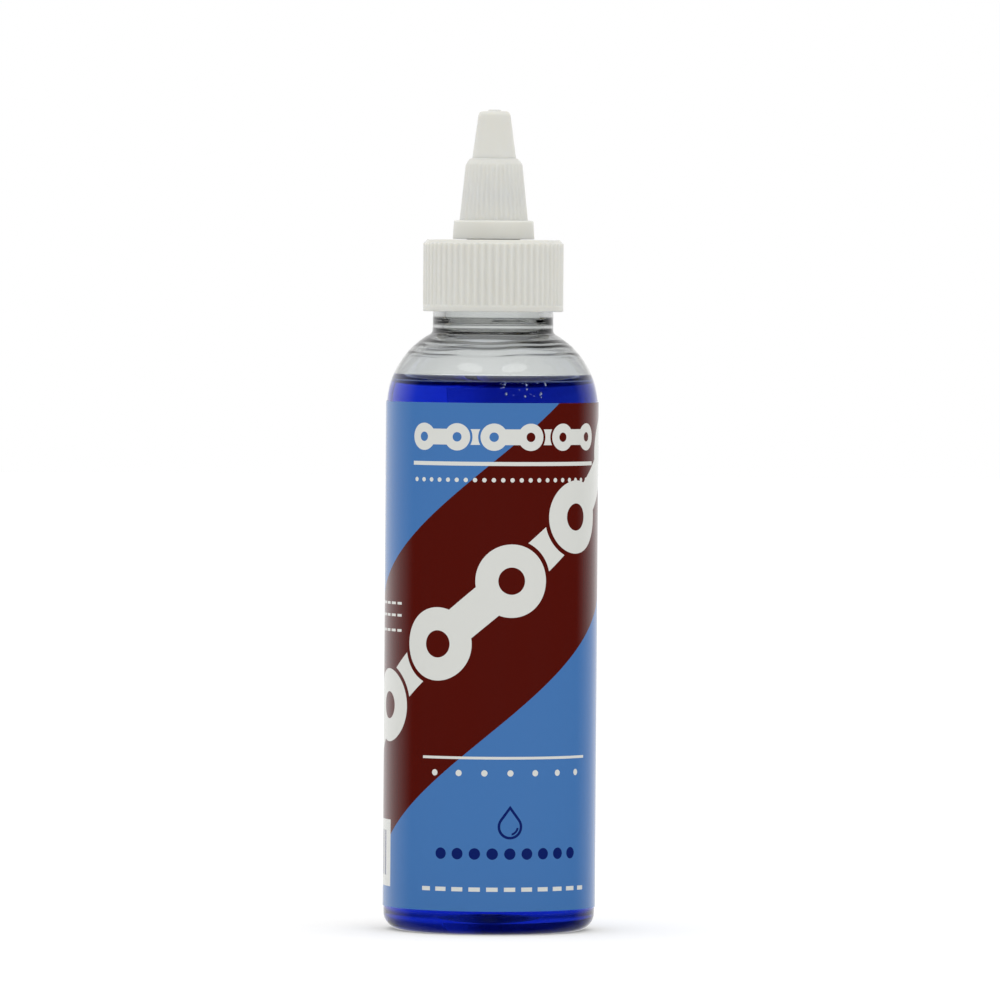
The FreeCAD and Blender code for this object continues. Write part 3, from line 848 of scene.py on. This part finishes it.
shader = add(tree, "ShaderNodeBsdfPrincipled", sockets={
    "Base Color": tone.outputs[2],
    "Roughness": satin,
    "IOR": 1.49,
    "Subsurface Weight": 1.0,
    "Subsurface Radius": (1.0, 0.95, 0.85),
    "Subsurface Scale": 1.6 * MM,
    "Normal": skin,
})
add(tree, "ShaderNodeOutputMaterial", shader)

# The same plastic inside the cap, as a paler copy that lets far more light through than the outside: painted
# light, so the closed cap's inside looks lit.
painted_lit_plastic, tree = new_material("moulded polypropylene against the light")
shader = add(tree, "ShaderNodeBsdfPrincipled", sockets={
    "Base Color": srgb("F0EFE9"),
    "Roughness": 0.45,
    "IOR": 1.49,
    "Subsurface Weight": 1.0,
    "Subsurface Radius": (1.0, 1.0, 1.0),
    "Subsurface Scale": 8.0 * MM,
})
add(tree, "ShaderNodeOutputMaterial", shader)

# Flutes are round grooves cut into a turned grip, cylinder or cone, from a foot upwards.
flute_tree, given, flute_end = new_tree("grip flutes", {
    "Count": "Int",
    "Depth": "Float",
    "Width": "Float",
    "Foot": "Float",
    "Head": "Float",
    "Foot radius": "Float",
    "Head radius": "Float",
    "Run-out": "Float",
    "Material": "Material",
})
place = add(flute_tree, "ShaderNodeSeparateXYZ", add(flute_tree, "GeometryNodeInputPosition"))
across, deep, up = place.outputs
outward = add(flute_tree, "ShaderNodeCombineXYZ", across, deep, 0.0)
reach = add(flute_tree, "ShaderNodeVectorMath", outward, operation="LENGTH").outputs["Value"]
grip = add(flute_tree, "ShaderNodeMapRange", clamp=False, sockets={
    "Value": up, "From Min": given["Foot"], "From Max": given["Head"],
    "To Min": given["Foot radius"], "To Max": given["Head radius"],
})
angle = add(flute_tree, "ShaderNodeMath", deep, across, operation="ARCTAN2")
turns = add(flute_tree, "ShaderNodeMath", angle, 2 * math.pi, operation="DIVIDE")
flutes = add(flute_tree, "ShaderNodeMath", turns, given["Count"], operation="MULTIPLY")
off_flute = add(flute_tree, "ShaderNodeMath", flutes, 0.5, operation="PINGPONG")
girth = add(flute_tree, "ShaderNodeMath", grip, 2 * math.pi, operation="MULTIPLY")
spacing = add(flute_tree, "ShaderNodeMath", girth, given["Count"], operation="DIVIDE")
off_middle = add(flute_tree, "ShaderNodeMath", off_flute, spacing, operation="MULTIPLY")
half_width = add(flute_tree, "ShaderNodeMath", given["Width"], 0.5, operation="MULTIPLY")
share = add(flute_tree, "ShaderNodeMath", off_middle, half_width, operation="DIVIDE")
square = add(flute_tree, "ShaderNodeMath", share, 2.0, operation="POWER")
groove = add(flute_tree, "ShaderNodeMath", 1.0, square, operation="SUBTRACT", use_clamp=True)
run_out = add(flute_tree, "ShaderNodeMath", given["Foot"], given["Run-out"], operation="ADD")
ramp = add(flute_tree, "ShaderNodeMapRange", interpolation_type="SMOOTHSTEP", sockets={
    "Value": up, "From Min": given["Foot"], "From Max": run_out,
})
for factor in (ramp, given["Depth"]):
    groove = add(flute_tree, "ShaderNodeMath", groove, factor, operation="MULTIPLY")
limit = add(flute_tree, "ShaderNodeMath", grip, groove, operation="SUBTRACT")
kept = add(flute_tree, "ShaderNodeMath", reach, limit, operation="MINIMUM")
scale = add(flute_tree, "ShaderNodeMath", kept, reach, operation="DIVIDE")
fluted = add(flute_tree, "ShaderNodeVectorMath", outward, operation="SCALE", sockets={"Scale": scale})
level = add(flute_tree, "ShaderNodeCombineXYZ", 0.0, 0.0, up)
fluted = add(flute_tree, "ShaderNodeVectorMath", fluted, level, operation="ADD")
above_foot = add(flute_tree, "ShaderNodeMath", up, given["Foot"], operation="GREATER_THAN")
cut = add(flute_tree, "GeometryNodeSetPosition", given["Geometry"], above_foot, fluted)
end_tree(flute_tree, flute_end, cut, given["Material"])

shape = bmesh.new()
chamfer_shares = [row / chamfer_rows for row in range(chamfer_rows)]
cap_outline = [
    (skirt_bore, skirt_foot + inner_edge),
    (skirt_bore + inner_edge, skirt_foot),
    (cap_radius - outer_edge, skirt_foot),
    (cap_radius - 0.05, skirt_foot + 0.06),
    (cap_radius, skirt_foot + outer_edge),
    *[(cap_radius, flute_foot + run_out_row * row) for row in range(run_out_rows)],
    (cap_radius, flute_foot + 1.5),
    (cap_radius, cap_top - 3.0),
    (cap_radius, cap_top - cap_chamfer - inner_edge),
    *[(cap_radius - cap_chamfer * share, cap_top - cap_chamfer * (1 - share)) for share in chamfer_shares],
    (chamfer_radius + 0.05, cap_top - 0.03),
    (chamfer_radius - 0.12, cap_top),
    (chimney_radius + chimney_fillet, cap_top),
    (chimney_radius, cap_top + chimney_fillet),
    (chimney_radius, bead_foot),
    (bead_radius - bead_edge, bead_foot),
    (bead_radius, bead_foot + bead_edge),
    (bead_radius, bead_top - bead_slope),
    (bead_radius - bead_slope, bead_top),
    (nose_radius, bead_top),
    (nose_radius, nose_top - nose_edge),
    (nose_radius - nose_edge, nose_top),
    (chimney_bore, nose_top),
    (chimney_bore, liner_head),
    (skirt_bore - roof_fillet, liner_head),
    (skirt_bore, liner_head - roof_fillet),
]
inside_rows = 3
cap_columns = flute_count * flute_columns
turn(shape, cap_outline, cap_columns, closed=True)
pin_outline = [
    (0.0, web_foot),
    (pin_radius, web_foot),
    *arc((pin_radius - pin_round, pin_top - pin_round), pin_round, 0, 90, steps=6),
    (0.0, pin_top),
]
turn(shape, pin_outline, columns=48)
for web in range(web_count):
    middle = 2 * math.pi * web / web_count
    corners = []
    for away, aside in ((web_start, -0.5), (web_end, -0.5), (web_end, 0.5), (web_start, 0.5)):
        off = aside * web_thickness
        east = away * math.cos(middle) - off * math.sin(middle)
        north = away * math.sin(middle) + off * math.cos(middle)
        corners.append((east * MM, north * MM))
    lower = [shape.verts.new((east, north, web_foot * MM)) for east, north in corners]
    upper = [shape.verts.new((east, north, nose_top * MM)) for east, north in corners]
    shape.faces.new(lower[::-1])
    shape.faces.new(upper)
    for corner in range(4):
        after = (corner + 1) % 4
        shape.faces.new((lower[corner], lower[after], upper[after], upper[corner]))
cap = piece_of("ribbed_cap", shape, white_plastic)
grow(cap, flute_tree, {
    "Count": flute_count,
    "Depth": flute_depth * MM,
    "Width": flute_width * MM,
    "Foot": flute_foot * MM,
    "Head": cap_top * MM,
    "Foot radius": cap_radius * MM,
    "Head radius": cap_radius * MM,
    "Run-out": flute_run_out * MM,
    "Material": white_plastic,
})
smooth(cap, 40)
# Faces inside the skirt and under the top plate take the paler copy, as painted light.
cap.data.materials.append(painted_lit_plastic)
for face in cap.data.polygons:
    if len(cap_outline) - inside_rows <= face.index // cap_columns < len(cap_outline):
        face.material_index = 1
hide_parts("screw_cap")
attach(cap, "cap")


# Twist spout: a hollow nozzle of the same polypropylene, snapped over the chimney's bead. Twisted by its
# finely ribbed cone it climbs the chimney, and its mouth leaves the sealing pin.
rib_count = 40
rib_columns = 12
rib_rows = 10
rib_depth = 0.08
rib_width = 0.65
rib_run_out = 0.3
spout_low, spout_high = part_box("twist_spout")
foot_settle = 0.1
foot_edge = 0.1
spout_foot = spout_low.z / MM - foot_settle
spout_top = spout_high.z / MM
spout_wall = 1.08
flange_foot_radius = spout_high.x / MM
flange_taper = 0.19
flange_top_radius = flange_foot_radius - flange_taper
flange_height = 3.6
flange_top = spout_foot + flange_height
flange_round = 0.3
bead_clearance = 0.15
spout_bore = bead_radius + bead_clearance
bore_spare = 1.3
lip_radius = chimney_radius + 0.2
lip_top = spout_foot + 1.8
grip_taper = 1.1
grip_gap = 0.02
grip_foot_radius = spout_bore + spout_wall
grip_head_radius = grip_foot_radius - grip_taper
grip_top = nose_top + 3.0
ledge_radius = grip_head_radius - 0.9
tip_wall = 1.2
tip_taper = 1.21
tip_lean = 7
tip_round = 1.0
tip_foot = grip_top + 1.3
tip_foot_radius = grip_head_radius - 1.27
tip_head_radius = tip_foot_radius - tip_taper
tip_centre = (tip_head_radius - tip_round + 0.12, spout_top - tip_round)
orifice_edge = 0.1
orifice_radius = pin_radius + 0.1
orifice_foot = spout_top - 2.1

shape = bmesh.new()
grip_foot = flange_top + grip_gap
grip_length = grip_top - grip_foot
rib_shares = [row / rib_rows for row in range(rib_rows + 1)]
spout_outline = [
    (lip_radius, spout_foot + foot_edge),
    (lip_radius + foot_edge, spout_foot),
    (flange_foot_radius - foot_edge, spout_foot),
    (flange_foot_radius, spout_foot + 0.12),
    *arc((flange_top_radius - flange_round, flange_top - flange_round), flange_round, 0, 90, steps=5),
    (grip_foot_radius + grip_gap, flange_top),
    *[(grip_foot_radius - grip_taper * share, grip_foot + grip_length * share) for share in rib_shares],
    (grip_head_radius - 0.12, grip_top + 0.28),
    (grip_head_radius - 0.4, grip_top + 0.72),
    (ledge_radius + 0.12, tip_foot - 0.14),
    (ledge_radius - 0.1, tip_foot - 0.02),
    (tip_foot_radius + 0.1, tip_foot),
    (tip_foot_radius, tip_foot + 0.12),
    *arc(tip_centre, tip_round, tip_lean, 90, steps=9),
    (orifice_radius + orifice_edge, spout_top),
    (orifice_radius, spout_top - orifice_edge),
    (orifice_radius, orifice_foot),
    (tip_foot_radius - tip_wall, tip_foot + 0.3),
    (grip_head_radius - spout_wall, grip_top),
    (spout_bore, bead_top + bore_spare),
    (spout_bore, lip_top),
    (lip_radius, lip_top),
]
turn(shape, spout_outline, rib_count * rib_columns, closed=True)
spout = piece_of("twist_nozzle", shape, white_plastic)
grow(spout, flute_tree, {
    "Count": rib_count,
    "Depth": rib_depth * MM,
    "Width": rib_width * MM,
    "Foot": flange_top * MM,
    "Head": grip_top * MM,
    "Foot radius": grip_foot_radius * MM,
    "Head radius": grip_head_radius * MM,
    "Run-out": rib_run_out * MM,
    "Material": white_plastic,
})
smooth(spout, 40)
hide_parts("twist_spout")
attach(spout, "spout")


# Studio: a white table under a soft dome of light that is brighter overhead, with two weak softboxes high on
# the left and right. Glossy surfaces mirror a lit wall behind the bottle and a dark room before it. Through
# the bottle the table, that wall and the front show white, and the ceiling and the sides show grey.
table_size = 4.0
table_lift = 0.2
wall_aim = (0.1, 0.995, 0.0)
mirrored_aim = (-0.12, 0.993, 0.0)
softbox_turns = {"left": -38, "right": 36}
softbox_tilt = 35
softbox_reach = 0.63
softbox_height = 1.0
softbox_width = 0.5
softbox_depth = 0.24
softbox_watts = 0.28
floor_shape = bmesh.new()
bmesh.ops.create_grid(floor_shape, x_segments=1, y_segments=1, size=table_size)
paper, tree = new_material("white table")
ray = add(tree, "ShaderNodeLightPath").outputs
seen = add(tree, "ShaderNodeMath", ray["Is Camera Ray"], ray["Is Transmission Ray"], operation="MAXIMUM")
matt = add(tree, "ShaderNodeBsdfDiffuse", srgb("F0F0F0"))
lift = add(tree, "ShaderNodeMath", seen, table_lift, operation="MULTIPLY")
lift = add(tree, "ShaderNodeEmission", srgb("FFFFFF"), lift)
add(tree, "ShaderNodeOutputMaterial", add(tree, "ShaderNodeAddShader", matt, lift))
floor = piece_of("studio_floor", floor_shape, paper)
floor.visible_glossy = False

world = bpy.data.worlds.new("soft dome")
bpy.context.scene.world = world
world.use_nodes = True
tree = world.node_tree
tree.nodes.clear()
ray = add(tree, "ShaderNodeLightPath").outputs
aim = add(tree, "ShaderNodeTexCoord").outputs["Generated"]
up = add(tree, "ShaderNodeSeparateXYZ", aim).outputs["Z"]
dome = add(tree, "ShaderNodeMapRange", sockets={
    "Value": up, "From Min": -0.4, "From Max": 1.0, "To Min": 0.74, "To Max": 1.12,
})
away = add(tree, "ShaderNodeVectorMath", aim, wall_aim, operation="DOT_PRODUCT").outputs["Value"]
mirrored = add(tree, "ShaderNodeVectorMath", aim, mirrored_aim, operation="DOT_PRODUCT").outputs["Value"]
room = add(tree, "ShaderNodeMapRange", sockets={
    "Value": mirrored, "From Min": 0.2, "From Max": 0.85, "To Min": 0.0, "To Max": 1.0,
})
table = add(tree, "ShaderNodeMapRange", sockets={
    "Value": up, "From Min": -0.45, "From Max": -0.1, "To Min": 0.3, "To Max": 1.0,
})
room = add(tree, "ShaderNodeMath", room, table, operation="MULTIPLY")
ceiling = add(tree, "ShaderNodeMapRange", interpolation_type="SMOOTHSTEP", sockets={
    "Value": up, "From Min": 0.02, "From Max": 0.22, "To Min": 1.0, "To Max": 0.35,
})
sides = add(tree, "ShaderNodeMapRange", interpolation_type="SMOOTHSTEP", sockets={
    "Value": away, "From Min": 0.1, "From Max": 0.9, "To Min": 0.35, "To Max": 1.0,
})
front = add(tree, "ShaderNodeMapRange", sockets={"Value": away, "From Min": 0.0, "From Max": -0.5})
backdrop = add(tree, "ShaderNodeMath", ceiling, sides, operation="MULTIPLY")
backdrop = add(tree, "ShaderNodeMath", backdrop, front, operation="MAXIMUM")
backdrop = add(tree, "ShaderNodeMath", backdrop, ray["Is Camera Ray"], operation="MAXIMUM")
seen = add(tree, "ShaderNodeMath", ray["Is Camera Ray"], ray["Is Transmission Ray"], operation="MAXIMUM")
level = add(tree, "ShaderNodeMix", ray["Is Glossy Ray"], sockets={2: dome, 3: room})
level = add(tree, "ShaderNodeMix", seen, sockets={2: level, 3: backdrop})
add(tree, "ShaderNodeOutputWorld", add(tree, "ShaderNodeBackground", srgb("FFFFFF"), level))

for side, degrees in softbox_turns.items():
    turned_by = math.radians(degrees)
    lamp = bpy.data.lights.new(f"{side}_softbox", "AREA")
    lamp.shape = "ELLIPSE"
    lamp.size = softbox_width
    lamp.size_y = softbox_depth
    lamp.energy = softbox_watts
    softbox = bpy.data.objects.new(f"{side}_softbox", lamp)
    softbox.location.x = softbox_reach * math.sin(turned_by)
    softbox.location.y = -softbox_reach * math.cos(turned_by)
    softbox.location.z = softbox_height
    softbox.rotation_euler = (math.radians(softbox_tilt), 0, turned_by)
    bpy.context.scene.collection.objects.link(softbox)

# The photograph was taken from just above the shoulder through a long lens, with the camera a little askew.
camera_dip = 1.37
camera_turn = 0.42
camera = bpy.data.cameras.new("camera")
camera.lens = 402
camera.sensor_width = 36
camera.clip_end = 50
eye = bpy.data.objects.new("camera", camera)
eye.location = (0.0016, -2.147, 0.134)
eye.rotation_mode = "ZYX"
eye.rotation_euler = (math.radians(90 - camera_dip), 0, math.radians(camera_turn))
bpy.context.scene.collection.objects.link(eye)
bpy.context.scene.camera = eye

bpy.context.scene.view_settings.view_transform = "Standard"
# Light crosses wall and lube many times before it leaves the bottle, so its paths may be long.
bpy.context.scene.cycles.max_bounces = 24
bpy.context.scene.cycles.transmission_bounces = 24
